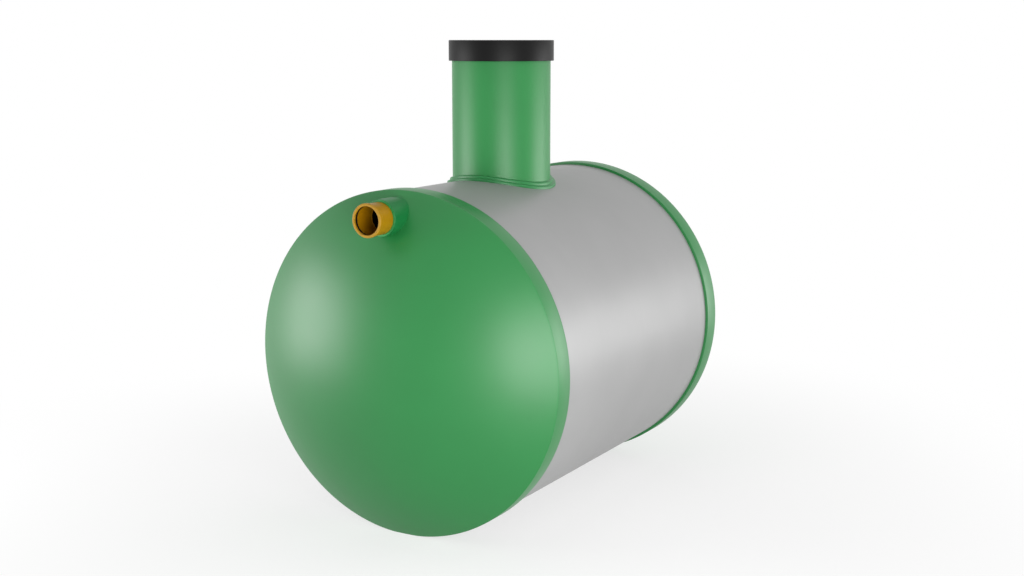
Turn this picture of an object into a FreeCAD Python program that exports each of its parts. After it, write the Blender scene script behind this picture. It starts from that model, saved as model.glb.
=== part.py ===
"""Horizontal plastic holding tank: a welded sheet shell with dished ends, a neck with a lift-off lid
and a pipe socket high on the front end.

Millimetres. The tank's axis runs along Y, the socket end faces -Y, +Z is up, and the origin is on the
floor below the middle of the tank.
"""
import FreeCAD, Part
import math
import os
import Sketcher
from FreeCAD import Rotation, Vector

SIZES = {
    # Dished ends and the bands round them
    "rim_radius": 700,
    "rim_span": 1553,
    "band_width": 90,
    "band_wall": 12,
    "dome_rise": 234,
    "dome_wall": 12,
    "rest_width": 120,
    # Shell of rolled sheets
    "shell_wall": 12,
    "sheet_count": 8,
    # Neck, the two steps of its collar, and the lid
    "neck_radius": 212,
    "neck_wall": 11,
    "neck_rise": 1265,
    "collar_step": 12,
    "collar_rise": 11,
    "collar_bevel": 3,
    "lid_radius": 225.5,
    "lid_wall": 7,
    "lid_plate": 8,
    "lid_skirt": 79,
    "lid_bevel": 3,
    # Inlet: sleeve in the dome, pipe socket in the sleeve, rubber seal in the socket
    "inlet_rise": 604,
    "sleeve_radius": 72.5,
    "sleeve_reach": 146,
    "socket_radius": 62.5,
    "socket_bore": 55.3,
    "socket_reach": 233,
    "socket_depth": 112,
    "lip_radius": 66,
    "lip_width": 18,
    "lip_bevel": 4,
    "lip_lead": 2,
    "seal_offset": 8,
    "seal_width": 12,
    "seal_depth": 6,
    "pipe_radius": 55,
    "pipe_wall": 3.2,
    "pipe_taper": 20,
    "pipe_tail": 60,
}

doc = FreeCAD.newDocument("holding_tank")
sheet = doc.addObject("Spreadsheet::Sheet", "dims")
for row, (alias, value) in enumerate(SIZES.items(), start=1):
    sheet.set(f"A{row}", alias)
    sheet.set(f"B{row}", str(value))
    sheet.setAlias(f"B{row}", alias)
doc.recompute()

# Formulas used by several pieces
AXIS_HEIGHT = "sqrt(dims.rim_radius^2 - (dims.rest_width / 2)^2)"
END_PLANE = "(dims.rim_span / 2)"
SHELL_RADIUS = "(dims.rim_radius - dims.band_wall)"
SHELL_BORE = f"({SHELL_RADIUS} - dims.shell_wall)"
DOME_RADIUS = "((dims.rim_radius^2 + dims.dome_rise^2) / (2 * dims.dome_rise))"
DOME_CENTRE = f"({END_PLANE} + dims.dome_rise - {DOME_RADIUS})"

parts = []


def number(formula):
    """Value of a formula over the sheet's cells."""
    value = sheet.evalExpression(formula)
    return float(getattr(value, "Value", value))


def part(piece, label):
    """Name a finished piece and list it for writing."""
    piece.Label = label
    parts.append(piece)


def new_body(name):
    """Body with its origin on the tank's axis, at mid-length."""
    body = doc.addObject("PartDesign::Body", name)
    body.setExpression("Placement.Base.z", AXIS_HEIGHT)
    return body


def new_sketch(body, role):
    """Empty sketch on one of the body's own origin planes."""
    plane = next(item for item in body.Origin.OriginFeatures if item.Role == role)
    sketch = body.newObject("Sketcher::SketchObject", f"{body.Name}_sketch")
    sketch.AttachmentSupport = [(plane, "")]
    sketch.MapMode = "FlatFace"
    return sketch


def drive(sketch, constraint, formula):
    """Add a dimension to a sketch and bind it to a formula."""
    index = sketch.addConstraint(constraint)
    sketch.setExpression(f"Constraints[{index}]", formula)


def pin_corner(sketch, line, across, up):
    """Hold the start of a line at two formulas, measured from the sketch's origin."""
    for kind, axis, formula in (("DistanceX", -2, across), ("DistanceY", -1, up)):
        if formula == "0":
            sketch.addConstraint(Sketcher.Constraint("PointOnObject", line, 1, axis))
        else:
            drive(sketch, Sketcher.Constraint(kind, -1, 1, line, 1, number(formula)), formula)


def outline(body, role, corners):
    """Closed outline with straight sides; each corner is a pair of formulas."""
    sketch = new_sketch(body, role)
    spots = [Vector(number(across), number(up), 0) for across, up in corners]
    ahead = [(index + 1) % len(spots) for index in range(len(spots))]
    for index, spot in enumerate(spots):
        sketch.addGeometry(Part.LineSegment(spot, spots[ahead[index]]), False)
    for index in range(len(spots)):
        sketch.addConstraint(Sketcher.Constraint("Coincident", index, 2, ahead[index], 1))
    for index, (across, up) in enumerate(corners):
        pin_corner(sketch, index, across, up)
    return sketch


def revolve(body, sketch, axis):
    """Turn an outline right round one of the sketch's own axes."""
    turned = body.newObject("PartDesign::Revolution", f"{body.Name}_turned")
    turned.Profile = sketch
    turned.ReferenceAxis = (sketch, [axis])
    turned.Angle = 360


def ring_sector(body, outer, inner, start, end):
    """Sketch across the tank: a stretch of a round wall between two angles, given as formulas in degrees."""
    sketch = new_sketch(body, "XZ_Plane")
    span = (math.radians(number(start)), math.radians(number(end)))
    for arc, radius in enumerate((outer, inner)):
        circle = Part.Circle(Vector(), Vector(0, 0, 1), number(radius))
        sketch.addGeometry(Part.ArcOfCircle(circle, *span), False)
        sketch.addConstraint(Sketcher.Constraint("Coincident", arc, 3, -1, 1))
        drive(sketch, Sketcher.Constraint("Radius", arc, number(radius)), radius)
    outer_arc, inner_arc = sketch.Geometry
    sketch.addGeometry(Part.LineSegment(inner_arc.StartPoint, outer_arc.StartPoint), False)
    sketch.addGeometry(Part.LineSegment(inner_arc.EndPoint, outer_arc.EndPoint), False)
    for line, arc_end, angle in ((2, 1, start), (3, 2, end)):
        sketch.addConstraint(Sketcher.Constraint("Coincident", line, 1, 1, arc_end))
        sketch.addConstraint(Sketcher.Constraint("Coincident", line, 2, 0, arc_end))
        sketch.addConstraint(Sketcher.Constraint("PointOnObject", -1, 1, line))
        drive(sketch, Sketcher.Constraint("Angle", line, math.radians(number(angle))), angle)
    return sketch


def pad(body, sketch, length):
    """Extrude an outline to both sides of its plane."""
    padded = body.newObject("PartDesign::Pad", f"{body.Name}_pad")
    padded.Profile = sketch
    padded.SideType = "Symmetric"
    padded.setExpression("Length", length)


def drill_upwards(body, radius):
    """Cut a round hole straight up from the body's origin, through the wall over it."""
    doc.recompute()
    before = body.Shape.Volume
    sketch = new_sketch(body, "XY_Plane")
    sketch.addGeometry(Part.Circle(Vector(), Vector(0, 0, 1), number(radius)), False)
    sketch.addConstraint(Sketcher.Constraint("Coincident", 0, 3, -1, 1))
    drive(sketch, Sketcher.Constraint("Radius", 0, number(radius)), radius)
    hole = body.newObject("PartDesign::Pocket", f"{body.Name}_hole")
    hole.Profile = sketch
    hole.Type = "ThroughAll"
    hole.Reversed = True
    doc.recompute()
    if not hole.Shape.Volume < before:
        raise RuntimeError(f"{hole.Name} cuts nothing")


def boolean(kind, name, base, tool):
    """Cut one shape from another, or keep what they share."""
    result = doc.addObject(f"Part::{kind}", name)
    result.Base = base
    result.Tool = tool
    return result


def upright(name, radius):
    """Round bar standing on the tank's axis, up to the top of the neck."""
    bar = doc.addObject("Part::Cylinder", name)
    bar.setExpression("Radius", radius)
    bar.setExpression("Height", "dims.neck_rise")
    bar.setExpression("Placement.Base.z", AXIS_HEIGHT)
    return bar


def lying(name, radius, length, rear, up="0"):
    """Round bar along the tank, forwards from its rear end, at a height over the tank's axis."""
    bar = doc.addObject("Part::Cylinder", name)
    bar.setExpression("Radius", radius)
    bar.setExpression("Height", length)
    bar.Placement.Rotation = Rotation(Vector(1, 0, 0), 90)
    bar.setExpression("Placement.Base.y", rear)
    bar.setExpression("Placement.Base.z", f"{AXIS_HEIGHT} + {up}")
    return bar


def shell_core(name, radius):
    """Round bar on the tank's axis, as long as the shell."""
    return lying(name, radius, "dims.rim_span", END_PLANE)


def sleeve_bar(name, radius):
    """Round bar on the inlet's axis, from the front end plane to the front of the sleeve."""
    return lying(name, radius, "dims.sleeve_reach", f"-{END_PLANE}", "dims.inlet_rise")


def ball(name, radius, centre):
    """Ball centred on the tank's axis."""
    sphere = doc.addObject("Part::Sphere", name)
    sphere.setExpression("Radius", radius)
    sphere.setExpression("Placement.Base.y", centre)
    sphere.setExpression("Placement.Base.z", AXIS_HEIGHT)
    return sphere


# Shell: sheets rolled to the tank's radius, butted along straight seams, one of them over the top
sheet_names = ("upper_right", "top", "upper_left", "left", "lower_left", "bottom", "lower_right", "right")
for index, place in enumerate(sheet_names):
    shell_sheet = new_body(f"shell_sheet_{place}")
    seams = [f"{seam} * 360 / dims.sheet_count" for seam in (index + 0.5, index + 1.5)]
    pad(shell_sheet, ring_sector(shell_sheet, SHELL_RADIUS, SHELL_BORE, *seams), "dims.rim_span")
    if place == "top":
        drill_upwards(shell_sheet, "dims.neck_radius")
    part(shell_sheet, f"shell_sheet_{place}")

# Ground: a block below the floor, cut from the rims so that the tank stands on two level strips
ground = doc.addObject("Part::Box", "ground")
ground.setExpression("Length", "2 * dims.rest_width")
ground.setExpression("Width", "2 * dims.rim_span")
ground.setExpression("Height", "dims.band_wall")
ground.setExpression("Placement.Base.x", "-dims.rest_width")
ground.setExpression("Placement.Base.y", "-dims.rim_span")
ground.setExpression("Placement.Base.z", "-dims.band_wall")

# Bands: two half rings round each end of the shell, the lower one levelled where the tank stands
for end, side in (("front", "-"), ("rear", "")):
    for half, first, last in (("upper", "0", "180"), ("lower", "180", "360")):
        band = new_body(f"{end}_{half}_half_ring")
        band.setExpression("Placement.Base.y", f"{side}({END_PLANE} - dims.band_width / 2)")
        pad(band, ring_sector(band, "dims.rim_radius", SHELL_RADIUS, first, last), "dims.band_width")
        if half == "lower":
            band = boolean("Cut", f"{end}_band_levelled", band, ground)
        part(band, f"{end}_band_{half}")

# Dished ends: spherical caps of even thickness on the end planes, the front one cut for the sleeve
DOME_BORE = f"({DOME_RADIUS} - dims.dome_wall)"
for end, centre, limit in (
    ("front", f"-{DOME_CENTRE}", f"-{END_PLANE}"),
    ("rear", DOME_CENTRE, f"{END_PLANE} + {DOME_RADIUS}"),
):
    outside = ball(f"{end}_dome_outside", DOME_RADIUS, centre)
    inside = ball(f"{end}_dome_inside", DOME_BORE, centre)
    hollow = boolean("Cut", f"{end}_dome_hollow", outside, inside)
    beyond = lying(f"{end}_dome_reach", DOME_RADIUS, DOME_RADIUS, limit)
    cap = boolean("Common", f"{end}_dome_cap", hollow, beyond)
    dome = boolean("Cut", f"{end}_dome_levelled", cap, ground)
    if end == "front":
        dome = boolean("Cut", "front_dome_drilled", dome, sleeve_bar("sleeve_hole", "dims.sleeve_radius"))
    part(dome, f"{end}_dome")

# Neck: an upright tube let into the top sheet, its foot cut to the shell's inner curve
neck_outside = upright("neck_outside", "dims.neck_radius")
neck_inside = upright("neck_inside", "dims.neck_radius - dims.neck_wall")
neck_wall = boolean("Cut", "neck_wall", neck_outside, neck_inside)
part(boolean("Cut", "neck_cut", neck_wall, shell_core("neck_foot", SHELL_BORE)), "neck_tube")


def is_outer_crest(edge, reach, crown):
    """True for the edge where an upright ring of one radius meets a lying cylinder of the other."""
    height = number(AXIS_HEIGHT)
    first, last = edge.ParameterRange
    for share in (0.2, 0.5, 0.8):
        spot = edge.valueAt(first + share * (last - first))
        on_ring = math.isclose(math.hypot(spot.x, spot.y), reach, abs_tol=0.01)
        on_crown = math.isclose(math.hypot(spot.x, spot.z - height), crown, abs_tol=0.01)
        if not (on_ring and on_crown):
            return False
    return True


# Collar: two rings round the neck that follow the shell's curve, the upper one a step narrower
collar_low = SHELL_RADIUS
for steps, rises, place in ((2, 1, "lower"), (1, 2, "upper")):
    reach = f"(dims.neck_radius + {steps} * dims.collar_step)"
    collar_high = f"({SHELL_RADIUS} + {rises} * dims.collar_rise)"
    name = f"neck_collar_{place}"
    outside = upright(f"{name}_outside", reach)
    inside = upright(f"{name}_inside", "dims.neck_radius")
    ring = boolean("Cut", f"{name}_ring", outside, inside)
    capped = boolean("Common", f"{name}_capped", ring, shell_core(f"{name}_crown", collar_high))
    saddle = boolean("Cut", f"{name}_saddle", capped, shell_core(f"{name}_foot", collar_low))
    doc.recompute()
    bevel = number("dims.collar_bevel")
    collar = doc.addObject("Part::Chamfer", f"{name}_bevelled")
    collar.Base = saddle
    collar.Edges = [
        (edge_index, bevel, bevel)
        for edge_index, edge in enumerate(saddle.Shape.Edges, start=1)
        if is_outer_crest(edge, number(reach), number(collar_high))
    ]
    part(collar, name)
    collar_low = collar_high

# Lid: a moulded cap whose plate lies on the neck and whose skirt hangs clear round it
lid = new_body("lid_cap")
lid_top = "dims.neck_rise + dims.lid_plate"
lid_hem = "dims.neck_rise - dims.lid_skirt"
lid_bore = "dims.lid_radius - dims.lid_wall"
lid_outline = [
    ("0", "dims.neck_rise"),
    (lid_bore, "dims.neck_rise"),
    (lid_bore, lid_hem),
    ("dims.lid_radius", lid_hem),
    ("dims.lid_radius", f"{lid_top} - dims.lid_bevel"),
    ("dims.lid_radius - dims.lid_bevel", lid_top),
    ("0", lid_top),
]
revolve(lid, outline(lid, "XZ_Plane", lid_outline), "V_Axis")
part(lid, "lid")

# Inlet sleeve: a short tube through the dome, its inner end cut to the dome's inner face
sleeve_outside = sleeve_bar("sleeve_outside", "dims.sleeve_radius")
sleeve_inside = sleeve_bar("sleeve_inside", "dims.socket_radius")
sleeve_tube = boolean("Cut", "sleeve_tube", sleeve_outside, sleeve_inside)
sleeve_foot = ball("sleeve_foot", DOME_BORE, f"-{DOME_CENTRE}")
part(boolean("Cut", "sleeve_cut", sleeve_tube, sleeve_foot), "inlet_sleeve")


def inlet_body(name):
    """Body with its origin on the inlet's axis, where the socket's mouth is."""
    body = new_body(name)
    body.setExpression("Placement.Base.y", f"-({END_PLANE} + dims.socket_reach)")
    body.setExpression("Placement.Base.z", f"{AXIS_HEIGHT} + dims.inlet_rise")
    return body


# Inlet socket: an extruded pipe end with a rolled lip, a groove for the seal and a plain tail
socket = inlet_body("socket_pipe")
tail_end = "dims.socket_reach + dims.pipe_tail"
groove_end = "dims.seal_offset + dims.seal_width"
groove_radius = "dims.socket_bore + dims.seal_depth"
pipe_bore = "dims.pipe_radius - dims.pipe_wall"
socket_outline = [
    ("0", "dims.socket_bore + dims.lip_lead"),
    ("0", "dims.lip_radius - dims.lip_bevel"),
    ("dims.lip_bevel", "dims.lip_radius"),
    ("dims.lip_width", "dims.lip_radius"),
    ("dims.lip_width + dims.lip_bevel", "dims.socket_radius"),
    ("dims.socket_depth", "dims.socket_radius"),
    ("dims.socket_depth + dims.pipe_taper", "dims.pipe_radius"),
    (tail_end, "dims.pipe_radius"),
    (tail_end, pipe_bore),
    ("dims.socket_depth", pipe_bore),
    ("dims.socket_depth", "dims.socket_bore"),
    (groove_end, "dims.socket_bore"),
    (groove_end, groove_radius),
    ("dims.seal_offset", groove_radius),
    ("dims.seal_offset", "dims.socket_bore"),
    ("dims.lip_lead", "dims.socket_bore"),
]
revolve(socket, outline(socket, "YZ_Plane", socket_outline), "H_Axis")
part(socket, "inlet_socket")

# Inlet seal: a rubber ring that fills the groove, flush with the bore
seal = inlet_body("seal_ring")
seal_outline = [
    ("dims.seal_offset", "dims.socket_bore"),
    ("dims.seal_offset", groove_radius),
    (groove_end, groove_radius),
    (groove_end, "dims.socket_bore"),
]
revolve(seal, outline(seal, "YZ_Plane", seal_outline), "H_Axis")
part(seal, "inlet_seal")

# Check every piece before any is written
doc.recompute()
for item in doc.Objects:
    if "Invalid" in item.State or "Error" in item.State:
        raise RuntimeError(f"{item.Name} failed: {item.State}")
for piece in parts:
    if piece.Shape.isNull() or not piece.Shape.isValid():
        raise RuntimeError(f"{piece.Label} has no valid shape")
os.makedirs("parts", exist_ok=True)
for piece in parts:
    piece.Shape.exportStep(f"parts/{piece.Label}.step")
    print(f"{piece.Label}: {piece.Shape.Volume / 1e6:.3f} l")
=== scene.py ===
import math

import bmesh
import bpy
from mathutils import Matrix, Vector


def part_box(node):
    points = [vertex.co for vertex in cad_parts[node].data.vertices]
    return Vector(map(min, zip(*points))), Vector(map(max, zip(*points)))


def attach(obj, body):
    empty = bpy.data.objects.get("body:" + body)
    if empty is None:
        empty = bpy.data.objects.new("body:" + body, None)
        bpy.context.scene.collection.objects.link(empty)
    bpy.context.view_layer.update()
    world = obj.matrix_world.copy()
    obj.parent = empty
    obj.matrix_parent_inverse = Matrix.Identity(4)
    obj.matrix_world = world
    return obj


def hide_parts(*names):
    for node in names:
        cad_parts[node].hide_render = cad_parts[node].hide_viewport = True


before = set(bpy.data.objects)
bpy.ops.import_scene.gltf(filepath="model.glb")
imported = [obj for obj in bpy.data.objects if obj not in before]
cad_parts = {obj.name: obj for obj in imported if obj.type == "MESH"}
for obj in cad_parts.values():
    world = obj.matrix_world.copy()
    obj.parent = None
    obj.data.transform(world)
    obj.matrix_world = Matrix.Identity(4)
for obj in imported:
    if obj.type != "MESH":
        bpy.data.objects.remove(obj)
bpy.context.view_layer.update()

# Shell: the tank's round wall of grey polypropylene sheet, rolled to its radius and butt-welded, with the
# seams dressed flush. Its two ends stand inside the green ends, and its crown is cut out for the neck.
shell_grey = (0.347, 0.347, 0.347)
shell_lines = (0.5, 38, 0.5)
rim_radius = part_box("front_band_upper")[1].x
axis_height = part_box("front_band_upper")[1].z - rim_radius
shell_low, shell_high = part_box("shell_sheet_right")
shell_radius = shell_high.x
shell_length = shell_high.y - shell_low.y
shell_thickness = 0.012
neck_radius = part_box("neck_tube")[1].x
tank_sides = 288
shell_cuts = 47
merge_gap = 0.00002
quarter_turn = math.radians(90)


def select_only(piece):
    """Make one object the selected and active one."""
    bpy.ops.object.select_all(action="DESELECT")
    piece.select_set(True)
    bpy.context.view_layer.objects.active = piece


def settle(piece):
    """Move a new object's place, turn and size into its mesh."""
    select_only(piece)
    bpy.ops.object.transform_apply(location=True, rotation=True, scale=True)


def pick_edges(piece, wanted):
    """In edit mode, select only the edges that pass a test."""
    bpy.ops.mesh.select_mode(type="EDGE")
    bpy.ops.mesh.select_all(action="DESELECT")
    mesh = bmesh.from_edit_mesh(piece.data)
    for edge in mesh.edges:
        edge.select_set(wanted(edge))
    bmesh.update_edit_mesh(piece.data)


def add_and_apply(piece, kind, **settings):
    """Give a piece a modifier, set it up and apply it."""
    select_only(piece)
    modifier = piece.modifiers.new(kind.lower(), kind)
    for name, value in settings.items():
        setattr(modifier, name, value)
    bpy.ops.object.modifier_apply(modifier=modifier.name)


def cut_away(piece, cutter):
    """Cut a tool's shape out of a piece, put the tool away and merge points that the cut left doubled."""
    add_and_apply(piece, "BOOLEAN", operation="DIFFERENCE", solver="EXACT", object=cutter)
    bpy.data.objects.remove(cutter)
    bpy.ops.object.mode_set(mode="EDIT")
    bpy.ops.mesh.select_all(action="SELECT")
    bpy.ops.mesh.remove_doubles(threshold=merge_gap)
    bpy.ops.object.mode_set(mode="OBJECT")


def smooth(piece, angle=30):
    """Shade a piece smooth across edges shallower than an angle in degrees."""
    select_only(piece)
    bpy.ops.object.shade_smooth_by_angle(angle=math.radians(angle))


def satin_plastic(name, colour, lines, roughness=0.42, specular=0.5, grain=420, grain_depth=0.00003):
    """Plastic whose colour drifts a little, with faint drawn lines, an uneven gloss and a fine grain.

    The lines, given along X, Y and Z, and the grain are in waves a metre.
    """
    drift_waves = 3.1
    line_share = 0.25
    tone_spread = 0.04
    gloss_spread = 0.015
    wave_depth = 0.0002
    noise_low, noise_high = 0.3, 0.7
    material = bpy.data.materials.new(name)
    material.use_nodes = True
    nodes = material.node_tree.nodes
    join = material.node_tree.links.new
    shader = nodes["Principled BSDF"]
    shader.inputs["Specular IOR Level"].default_value = specular

    def noise(place, waves, detail):
        """Cloudy value that changes so many times a metre of the place given."""
        cloud = nodes.new("ShaderNodeTexNoise")
        cloud.inputs["Scale"].default_value = waves
        cloud.inputs["Detail"].default_value = detail
        join(place, cloud.inputs["Vector"])
        return cloud.outputs["Fac"]

    place = nodes.new("ShaderNodeTexCoord").outputs["Object"]
    stretch = nodes.new("ShaderNodeMapping")
    stretch.inputs["Scale"].default_value = lines
    join(place, stretch.inputs["Vector"])
    drift = noise(place, drift_waves, detail=2)
    drawn = noise(stretch.outputs["Vector"], waves=1, detail=3)
    speckle = noise(place, grain, detail=2)

    tone = nodes.new("ShaderNodeMix")
    tone.data_type = "FLOAT"
    tone.inputs["Factor"].default_value = line_share
    join(drift, tone.inputs["A"])
    join(drawn, tone.inputs["B"])
    paint = nodes.new("ShaderNodeValToRGB")
    dark, pale = paint.color_ramp.elements
    dark.position = noise_low
    dark.color = (*[(1 - tone_spread) * part for part in colour], 1)
    pale.position = noise_high
    pale.color = (*[(1 + tone_spread) * part for part in colour], 1)
    join(tone.outputs["Result"], paint.inputs["Fac"])
    join(paint.outputs["Color"], shader.inputs["Base Color"])

    gloss = nodes.new("ShaderNodeMapRange")
    gloss.inputs["From Min"].default_value = noise_low
    gloss.inputs["From Max"].default_value = noise_high
    gloss.inputs["To Min"].default_value = roughness - gloss_spread
    gloss.inputs["To Max"].default_value = roughness + gloss_spread
    join(drawn, gloss.inputs["Value"])
    join(gloss.outputs["Result"], shader.inputs["Roughness"])

    broad_bump = nodes.new("ShaderNodeBump")
    broad_bump.inputs["Distance"].default_value = wave_depth
    join(tone.outputs["Result"], broad_bump.inputs["Height"])
    fine_bump = nodes.new("ShaderNodeBump")
    fine_bump.inputs["Distance"].default_value = grain_depth
    join(speckle, fine_bump.inputs["Height"])
    join(broad_bump.outputs["Normal"], fine_bump.inputs["Normal"])
    join(fine_bump.outputs["Normal"], shader.inputs["Normal"])
    return material


def finish(piece, *materials):
    """Give a piece its materials, of which the first covers it."""
    piece.data.materials.clear()
    for material in materials:
        piece.data.materials.append(material)


bpy.ops.object.select_all(action="DESELECT")
bpy.ops.mesh.primitive_cylinder_add(
    vertices=tank_sides,
    radius=shell_radius,
    depth=shell_length,
    end_fill_type="NOTHING",
    location=(0, 0, axis_height),
    rotation=(quarter_turn, 0, 0),
)
shell = bpy.context.object
shell.name = "shell_wall"
settle(shell)
# Rings round the wall keep its faces short
bpy.ops.object.mode_set(mode="EDIT")
pick_edges(shell, lambda edge: abs(edge.verts[0].co.y - edge.verts[1].co.y) > shell_length / 2)
bpy.ops.mesh.subdivide(number_cuts=shell_cuts)
bpy.ops.object.mode_set(mode="OBJECT")
add_and_apply(shell, "SOLIDIFY", thickness=shell_thickness, offset=-1)
bpy.ops.mesh.primitive_cylinder_add(
    vertices=tank_sides,
    radius=neck_radius,
    depth=shell_radius,
    location=(0, 0, axis_height + shell_radius),
)
cut_away(shell, bpy.context.object)
smooth(shell)
finish(shell, satin_plastic("shell_grey_plastic", shell_grey, shell_lines))
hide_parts(*[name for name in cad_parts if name.startswith("shell_sheet")])
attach(shell, "tank")

# Ends: two moulded green ends, each a dished cap with a straight skirt pushed over the shell and welded on.
# The tank stands on a level strip under each skirt; the front cap is cut out for the inlet.
tank_green = (0.014, 0.199, 0.044)
end_lines = (5, 5, 5)
end_plane = -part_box("front_band_upper")[0].y
skirt_width = end_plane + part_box("front_band_upper")[1].y
dome_rise = -end_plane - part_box("front_dome")[0].y
dome_radius = (rim_radius**2 + dome_rise**2) / (2 * dome_rise)
dome_rings = 360
end_thickness = rim_radius - shell_radius
crease_round = 0.0007
skirt_round = 0.0008
inlet_low, inlet_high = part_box("inlet_socket")
inlet_height = (inlet_low.z + inlet_high.z) / 2
inlet_sides = 128
sleeve_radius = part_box("inlet_sleeve")[1].x
sleeve_overlap = 0.001
slack = 0.0001
strip_slack = 0.000001


def near(value, aim):
    """True where a measure is the one aimed at, give or take the slack."""
    return abs(value - aim) < slack


def pick_ring(piece, radius, height):
    """In edit mode, select the ring of edges at a radius and a height on a piece turned about Z."""

    def on_ring(spot):
        """True for a point of that ring."""
        return near(math.hypot(spot.x, spot.y), radius) and near(spot.z, height)

    pick_edges(piece, lambda edge: all(on_ring(vertex.co) for vertex in edge.verts))


# The cap is the top of a ball, and the skirt hangs from its rim
bpy.ops.object.select_all(action="DESELECT")
bpy.ops.mesh.primitive_uv_sphere_add(
    segments=tank_sides,
    ring_count=dome_rings,
    radius=dome_radius,
    location=(0, 0, dome_rise - dome_radius),
)
front_end = bpy.context.object
front_end.name = "front_end"
settle(front_end)
bpy.ops.object.mode_set(mode="EDIT")
bpy.ops.mesh.select_all(action="SELECT")
bpy.ops.mesh.bisect(plane_co=(0, 0, 0), plane_no=(0, 0, 1), clear_inner=True)
pick_ring(front_end, rim_radius, 0)
bpy.ops.mesh.extrude_edges_move(TRANSFORM_OT_translate={"value": (0, 0, -skirt_width)})
pick_ring(front_end, rim_radius, 0)
bpy.ops.mesh.bevel(offset=crease_round, segments=3, affect="EDGES")
bpy.ops.mesh.select_all(action="SELECT")
bpy.ops.mesh.normals_make_consistent(inside=False)
bpy.ops.object.mode_set(mode="OBJECT")
add_and_apply(front_end, "SOLIDIFY", thickness=end_thickness, offset=-1, use_even_offset=True)
bpy.ops.object.mode_set(mode="EDIT")
pick_ring(front_end, rim_radius, -skirt_width)
bpy.ops.mesh.bevel(offset=skirt_round, segments=3, affect="EDGES")
bpy.ops.object.mode_set(mode="OBJECT")
# The end is laid over to face the front, and what reaches below the floor is cut off level
front_end.rotation_euler = (quarter_turn, 0, 0)
front_end.location = (0, -end_plane, axis_height)
settle(front_end)
bpy.ops.object.mode_set(mode="EDIT")
bpy.ops.mesh.select_all(action="SELECT")
bpy.ops.mesh.bisect(
    plane_co=(0, 0, 0),
    plane_no=(0, 0, 1),
    clear_inner=True,
    use_fill=True,
    threshold=strip_slack,
)
bpy.ops.object.mode_set(mode="OBJECT")
# The rear end is the front one turned half round, copied before the inlet is cut
bpy.ops.object.duplicate()
rear_end = bpy.context.object
rear_end.name = "rear_end"
rear_end.rotation_euler = (0, 0, 2 * quarter_turn)
settle(rear_end)
bpy.ops.mesh.primitive_cylinder_add(
    vertices=inlet_sides,
    radius=sleeve_radius - sleeve_overlap,
    depth=dome_rise,
    location=(0, -end_plane - dome_rise / 2, inlet_height),
    rotation=(quarter_turn, 0, 0),
)
cut_away(front_end, bpy.context.object)
end_plastic = satin_plastic("end_green_plastic", tank_green, end_lines, specular=0.57)
for piece, end in ((front_end, "front"), (rear_end, "rear")):
    smooth(piece)
    finish(piece, end_plastic)
    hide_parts(f"{end}_dome", f"{end}_band_upper", f"{end}_band_lower")
    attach(piece, "tank")

# Neck: a length of thick green pipe let into the crown of the shell, its foot cut to the shell's inner
# curve and its rim planed square for the lid to lie on.
# Painted light: the neck's green is painted lighter than the ends' green, though it is the same plastic.
neck_painted_light_green = (0.022, 0.242, 0.057)
neck_lines = (42, 42, 0.5)
neck_wall = 0.011
neck_bore = neck_radius - neck_wall
neck_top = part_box("neck_tube")[1].z
neck_rim_round = 0.0015
neck_sides = 192


def turn(name, rings, sides, closed=True):
    """Section of (radius, height) pairs, drawn round the Z axis ring by ring.

    A closed section ends where it began; an open one has its first and last rings filled in.
    """
    (radius, height), *others = rings
    bpy.ops.object.select_all(action="DESELECT")
    bpy.ops.mesh.primitive_circle_add(vertices=sides, radius=radius, location=(0, 0, height))
    piece = bpy.context.object
    piece.name = name
    settle(piece)
    bpy.ops.object.mode_set(mode="EDIT")
    bpy.ops.mesh.select_mode(type="EDGE")
    bpy.ops.mesh.select_all(action="SELECT")
    if closed:
        others.append(rings[0])
    else:
        bpy.ops.mesh.edge_face_add()
        bpy.ops.mesh.select_mode(type="EDGE")
    for next_radius, next_height in others:
        bpy.ops.mesh.extrude_edges_move(TRANSFORM_OT_translate={"value": (0, 0, next_height - height)})
        spread = next_radius / radius
        bpy.ops.transform.resize(value=(spread, spread, 1), center_override=(0, 0, 0))
        radius, height = next_radius, next_height
    if not closed:
        bpy.ops.mesh.edge_face_add()
    bpy.ops.mesh.select_all(action="SELECT")
    bpy.ops.mesh.remove_doubles(threshold=merge_gap)
    bpy.ops.mesh.normals_make_consistent(inside=False)
    bpy.ops.object.mode_set(mode="OBJECT")
    return piece


def round_ring(piece, radius, height, width, segments=4):
    """Round one ring of edges on a piece turned about Z."""
    select_only(piece)
    bpy.ops.object.mode_set(mode="EDIT")
    pick_ring(piece, radius, height)
    bpy.ops.mesh.bevel(offset=width, segments=segments, affect="EDGES")
    bpy.ops.object.mode_set(mode="OBJECT")


neck = turn(
    "neck_pipe",
    [(neck_radius, axis_height), (neck_radius, neck_top), (neck_bore, neck_top), (neck_bore, axis_height)],
    neck_sides,
)
round_ring(neck, neck_radius, neck_top, neck_rim_round)
round_ring(neck, neck_bore, neck_top, neck_rim_round)
bpy.ops.mesh.primitive_cylinder_add(
    vertices=tank_sides,
    radius=shell_radius - shell_thickness,
    depth=shell_length,
    location=(0, 0, axis_height),
    rotation=(quarter_turn, 0, 0),
)
cut_away(neck, bpy.context.object)
smooth(neck)
finish(neck, satin_plastic("neck_green_plastic", neck_painted_light_green, neck_lines))
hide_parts("neck_tube")
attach(neck, "tank")

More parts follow.
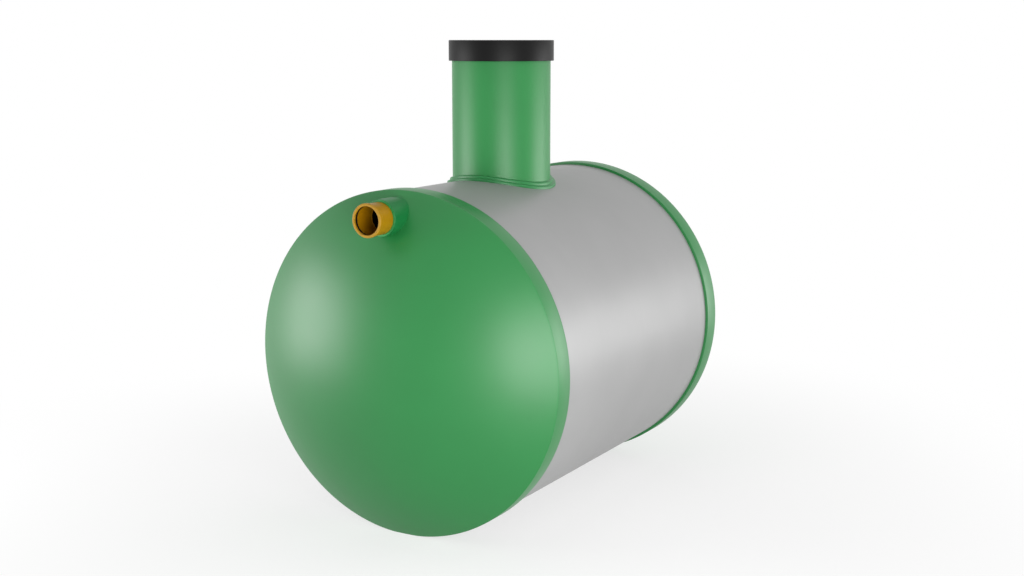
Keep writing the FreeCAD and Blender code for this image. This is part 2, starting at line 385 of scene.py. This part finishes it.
# Neck collar: two stepped rings of green plastic welded round the foot of the neck, the upper one narrower,
# both moulded to the saddle where the neck meets the round shell.
collar_green = (0.013, 0.222, 0.051)
collar_lines = (9, 9, 9)
collar_step = (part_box("neck_collar_lower")[1].x - neck_radius) / 2
collar_rise = (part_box("neck_collar_upper")[1].z - axis_height - shell_radius) / 2
collar_round = 0.0042
collar_sink = 0.002
collar_heel = neck_radius - collar_sink
collar_plastic = satin_plastic("collar_green_plastic", collar_green, collar_lines)
for place, steps, rises in (("lower", 2, 1), ("upper", 1, 2)):
    reach = neck_radius + steps * collar_step
    top_lift = rises * collar_rise
    foot_lift = top_lift - collar_rise - collar_sink
    collar = turn(
        f"neck_ring_{place}",
        [(collar_heel, foot_lift), (reach, foot_lift), (reach, top_lift), (collar_heel, top_lift)],
        neck_sides,
    )
    round_ring(collar, reach, top_lift, collar_round, segments=6)
    # The section's heights become lifts over the shell, so the ring drapes over the saddle
    for vertex in collar.data.vertices:
        lifted = shell_radius + vertex.co.z
        vertex.co.z = axis_height + math.sqrt(lifted**2 - vertex.co.x**2)
    smooth(collar, angle=50)
    finish(collar, collar_plastic)
    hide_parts(f"neck_collar_{place}")
    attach(collar, "tank")

# Lid: a loose black cap moulded in one piece, with a flat plate that lies on the neck's rim and a deep
# skirt that hangs clear round the neck.
lid_black = (0.003, 0.003, 0.003)
lid_lines = (6, 6, 6)
lid_low, lid_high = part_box("lid")
lid_radius = lid_high.x
lid_wall = 0.007
lid_bore = lid_radius - lid_wall
lid_centre = 0.004
lid_edge_round = 0.0035
lid_hem_round = 0.0015
lid = turn(
    "lid_cap",
    [
        (lid_centre, lid_high.z),
        (lid_radius, lid_high.z),
        (lid_radius, lid_low.z),
        (lid_bore, lid_low.z),
        (lid_bore, neck_top),
        (lid_centre, neck_top),
    ],
    neck_sides,
    closed=False,
)
round_ring(lid, lid_radius, lid_high.z, lid_edge_round, segments=6)
round_ring(lid, lid_radius, lid_low.z, lid_hem_round)
round_ring(lid, lid_bore, lid_low.z, lid_hem_round)
smooth(lid)
lid_plastic = satin_plastic(
    "lid_black_plastic",
    lid_black,
    lid_lines,
    roughness=0.43,
    specular=0.16,
    grain=300,
    grain_depth=0.00005,
)
finish(lid, lid_plastic)
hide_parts("lid")
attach(lid, "lid")

# Inlet sleeve: a short stub of thick green pipe through the front cap, welded in and cut to the cap's slope
# inside. In front it is sawn square, with its edge broken. Its green is painted darker than the pipe's own
# as painted shade, and its flat front face is painted paler as a painted highlight.
# Painted shade: the first green below is the pipe's green painted darker. The second is painted paler, as a
# painted highlight on the flat front face.
sleeve_shaded_green = (0.008, 0.177, 0.041)
sleeve_face_highlight_green = (0.026, 0.265, 0.064)
sleeve_lines = (60, 0.8, 60)
sleeve_bore = 0.0625
sleeve_front = -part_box("inlet_sleeve")[0].y
sleeve_round = 0.003
sleeve_bore_round = 0.0006


def lay_in_inlet(piece):
    """Lay a piece turned about Z along the inlet's axis, with its top to the front."""
    piece.rotation_euler = (quarter_turn, 0, 0)
    piece.location = (0, 0, inlet_height)
    settle(piece)


sleeve = turn(
    "inlet_stub",
    [
        (sleeve_radius, end_plane),
        (sleeve_radius, sleeve_front),
        (sleeve_bore, sleeve_front),
        (sleeve_bore, end_plane),
    ],
    inlet_sides,
)
round_ring(sleeve, sleeve_radius, sleeve_front, sleeve_round, segments=6)
round_ring(sleeve, sleeve_bore, sleeve_front, sleeve_bore_round)
lay_in_inlet(sleeve)
# A ball of the cap's inner size cuts the stub to the cap's slope
bpy.ops.mesh.primitive_uv_sphere_add(
    segments=tank_sides,
    ring_count=dome_rings // 2,
    radius=dome_radius - end_thickness,
    location=(0, dome_radius - dome_rise - end_plane, axis_height),
)
cut_away(sleeve, bpy.context.object)
smooth(sleeve)
finish(
    sleeve,
    satin_plastic("sleeve_green_plastic", sleeve_shaded_green, sleeve_lines, specular=0.3),
    satin_plastic("sleeve_face_highlight_plastic", sleeve_face_highlight_green, sleeve_lines),
)
# The flat front face takes the paler green, a painted highlight.
face_highlight_finish = 1
for face in sleeve.data.polygons:
    if near(-face.center.y, sleeve_front):
        face.material_index = face_highlight_finish
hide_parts("inlet_sleeve")
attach(sleeve, "tank")

# Inlet socket: an orange drain-pipe socket pushed into the sleeve, with a thick rolled lip, a groove inside
# the lip for the seal, a stop at its full depth and a plain pipe tail that ends in the tank. Its lip's
# front is painted paler as a painted highlight, its bore is painted a darker orange as painted shade, and
# the inside of its tail is painted near black as painted shade.
socket_orange = (0.43, 0.220, 0.003)
# Painted shade: the bore's darker orange.
bore_shade_orange = (0.33, 0.155, 0.001)
# Painted shade: the tail's near-black inside.
tail_painted_shade = (0.002, 0.0015, 0.001)
# Painted highlight: the lip's paler, bluer orange.
lip_highlight_orange = (0.46, 0.25, 0.025)
socket_lines = (70, 0.8, 70)
mouth = -inlet_low.y
tail_end = -inlet_high.y
lip_radius = inlet_high.x
lip_width = 0.018
lip_back = mouth - lip_width
lip_round = 0.004
lip_lead = 0.002
socket_bore = 0.0553
socket_depth = 0.112
stop = mouth - socket_depth
stop_round = 0.001
pipe_radius = 0.055
pipe_bore = 0.0518
pipe_taper = 0.020
groove_offset = 0.008
groove_width = 0.012
groove_depth = 0.006
groove_radius = socket_bore + groove_depth
groove_front = mouth - groove_offset
groove_back = groove_front - groove_width
socket = turn(
    "pipe_socket",
    [
        (socket_bore, mouth),
        (lip_radius, mouth),
        (lip_radius, lip_back),
        (sleeve_bore, lip_back - lip_round),
        (sleeve_bore, stop),
        (pipe_radius, stop - pipe_taper),
        (pipe_radius, tail_end),
        (pipe_bore, tail_end),
        (pipe_bore, stop),
        (socket_bore, stop),
        (socket_bore, groove_back),
        (groove_radius, groove_back),
        (groove_radius, groove_front),
        (socket_bore, groove_front),
    ],
    inlet_sides,
)
round_ring(socket, lip_radius, mouth, lip_round, segments=6)
round_ring(socket, socket_bore, mouth, lip_lead)
round_ring(socket, lip_radius, lip_back, lip_round, segments=6)
round_ring(socket, pipe_bore, stop, stop_round)
lay_in_inlet(socket)
smooth(socket)
finish(
    socket,
    satin_plastic("socket_orange_plastic", socket_orange, socket_lines, specular=0.13),
    satin_plastic("bore_orange_plastic", bore_shade_orange, socket_lines, roughness=0.5, specular=0.1),
    satin_plastic("tail_dark_plastic", tail_painted_shade, socket_lines, roughness=0.6, specular=0.05),
    satin_plastic("lip_orange_plastic", lip_highlight_orange, socket_lines, specular=0.2),
)
bore_shade_finish, tail_shade_finish, lip_highlight_finish = 1, 2, 3
# The bore's faces take painted shade, the tail's inside a darker painted shade, and the lip's front a
# painted highlight.
for face in socket.data.polygons:
    outward = math.hypot(face.center.x, face.center.z - inlet_height)
    forward = -face.center.y
    if outward < socket_bore + slack and stop - slack < forward < groove_front:
        face.material_index = bore_shade_finish
    elif outward < (pipe_bore + pipe_radius) / 2 and forward < stop:
        face.material_index = tail_shade_finish
    elif forward > mouth - lip_round:
        face.material_index = lip_highlight_finish
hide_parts("inlet_socket")
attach(socket, "tank")

# Inlet seal: a black rubber ring, moulded with rounded inner edges, that lies in the socket's groove and
# stands a little proud of the bore to grip the pipe that is pushed in.
seal_black = (0.004, 0.0035, 0.003)
seal_lines = (30, 30, 30)
seal_proud = 0.0006
seal_bore = socket_bore - seal_proud
seal_round = 0.002
seal = turn(
    "rubber_seal",
    [
        (seal_bore, groove_front),
        (groove_radius, groove_front),
        (groove_radius, groove_back),
        (seal_bore, groove_back),
    ],
    inlet_sides,
)
round_ring(seal, seal_bore, groove_front, seal_round)
round_ring(seal, seal_bore, groove_back, seal_round)
lay_in_inlet(seal)
smooth(seal)
seal_rubber = satin_plastic(
    "seal_black_rubber",
    seal_black,
    seal_lines,
    roughness=0.65,
    specular=0.15,
    grain=500,
    grain_depth=0.00006,
)
finish(seal, seal_rubber)
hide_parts("inlet_seal")
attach(seal, "tank")

# Floor: a pale matt studio floor, laid a hair under the tank. It takes the tank's soft shadow close by and
# fades into a white surround further out.
floor_pale = 0.6
floor_white = 1
floor_span = 80
floor_drop = 0.0005
fade_start, fade_end = 1.0, 3.2
shadow_share = 0.32


def seen_or_mirrored(nodes, join):
    """Output that is 1 for rays from the camera or through a gloss or glass surface, and 0 for light."""
    path = nodes.new("ShaderNodeLightPath")
    share = path.outputs["Is Camera Ray"]
    for kind in ("Is Glossy Ray", "Is Transmission Ray"):
        either = nodes.new("ShaderNodeMath")
        either.operation = "MAXIMUM"
        join(share, either.inputs[0])
        join(path.outputs[kind], either.inputs[1])
        share = either.outputs["Value"]
    return share


bpy.ops.object.select_all(action="DESELECT")
bpy.ops.mesh.primitive_plane_add(size=floor_span, location=(0, 0, -floor_drop))
floor = bpy.context.object
floor.name = "studio_floor"
floor_paint = bpy.data.materials.new("floor_pale_paint")
floor_paint.use_nodes = True
floor_nodes = floor_paint.node_tree.nodes
floor_join = floor_paint.node_tree.links.new
floor_nodes.clear()
seen = seen_or_mirrored(floor_nodes, floor_join)
away = floor_nodes.new("ShaderNodeVectorMath")
away.operation = "LENGTH"
floor_join(floor_nodes.new("ShaderNodeTexCoord").outputs["Object"], away.inputs[0])
fade = floor_nodes.new("ShaderNodeMapRange")
fade.interpolation_type = "SMOOTHSTEP"
fade.inputs["From Min"].default_value = fade_start
fade.inputs["From Max"].default_value = fade_end
fade.inputs["To Min"].default_value = 1 - shadow_share
floor_join(away.outputs["Value"], fade.inputs["Value"])
glow_share = floor_nodes.new("ShaderNodeMath")
glow_share.operation = "MULTIPLY"
floor_join(seen, glow_share.inputs[0])
floor_join(fade.outputs["Result"], glow_share.inputs[1])
floor_tone = floor_nodes.new("ShaderNodeMapRange")
floor_tone.inputs["To Min"].default_value = floor_pale
floor_tone.inputs["To Max"].default_value = floor_white
floor_join(seen, floor_tone.inputs["Value"])
matt = floor_nodes.new("ShaderNodeBsdfDiffuse")
floor_join(floor_tone.outputs["Result"], matt.inputs["Color"])
glow = floor_nodes.new("ShaderNodeEmission")
blend = floor_nodes.new("ShaderNodeMixShader")
floor_join(glow_share.outputs["Value"], blend.inputs["Fac"])
floor_join(matt.outputs["BSDF"], blend.inputs[1])
floor_join(glow.outputs["Emission"], blend.inputs[2])
floor_join(blend.outputs["Shader"], floor_nodes.new("ShaderNodeOutputMaterial").inputs["Surface"])
floor.data.materials.append(floor_paint)

# Light: four low softboxes round the tank, a small one high up and a wide weak one overhead, in an even
# white room. The one behind only fills the tank's far side, so it leaves no streak in the gloss.
room_light = 0.19
aim_height = 0.8
world = bpy.data.worlds.new("studio_room")
bpy.context.scene.world = world
world.use_nodes = True
room_nodes = world.node_tree.nodes
room_join = world.node_tree.links.new
level = room_nodes.new("ShaderNodeMapRange")
level.inputs["To Min"].default_value = room_light
room_join(seen_or_mirrored(room_nodes, room_join), level.inputs["Value"])
room_nodes["Background"].inputs["Color"].default_value = (1, 1, 1, 1)
room_join(level.outputs["Result"], room_nodes["Background"].inputs["Strength"])

# Each has its heading in degrees from +X, its distance and height, its width and depth, and its brightness
softboxes = (
    ("left_softbox", -145.4, 4.02, 0.95, 2.39, 1.86, 6.0),
    ("front_softbox", -50.3, 3.66, 0.84, 1.94, 1.64, 8.5),
    ("right_softbox", 36.9, 4.37, 0.88, 3.00, 1.72, 4.9),
    ("back_softbox", 140, 4.00, 0.90, 2.60, 1.72, 4.5),
    ("high_softbox", 10.9, 2.60, 3.60, 1.20, 1.20, 2.4),
    ("top_softbox", 0, 0.01, 4.50, 3.00, 3.00, 1.18),
)
for name, heading, distance, height, width, depth, brightness in softboxes:
    lamp = bpy.data.lights.new(name, "AREA")
    lamp.shape = "RECTANGLE"
    lamp.size = width
    lamp.size_y = depth
    lamp.energy = brightness * math.pi * width * depth
    softbox = bpy.data.objects.new(name, lamp)
    bearing = math.radians(heading)
    softbox.location = (distance * math.cos(bearing), distance * math.sin(bearing), height)
    lean = math.atan2(height - aim_height, distance)
    softbox.rotation_euler = (quarter_turn - lean, 0, bearing + quarter_turn)
    softbox.visible_camera = False
    softbox.visible_glossy = name != "back_softbox"
    bpy.context.scene.collection.objects.link(softbox)

# Camera: one plain camera with a normal lens at the picture's viewing angle, in front of the tank and to
# its right, looking a little down.
camera_place = (3.11332, -5.34029, 1.97219)
camera_dip = math.radians(9.9074)
camera_bearing = math.radians(29.8163)
camera_data = bpy.data.cameras.new("camera")
camera_data.lens = 50
camera_data.sensor_width = 36
camera = bpy.data.objects.new("camera", camera_data)
camera.location = camera_place
camera.rotation_euler = (quarter_turn - camera_dip, 0, camera_bearing)
bpy.context.scene.collection.objects.link(camera)
bpy.context.scene.camera = camera
bpy.context.scene.view_settings.view_transform = "Standard"
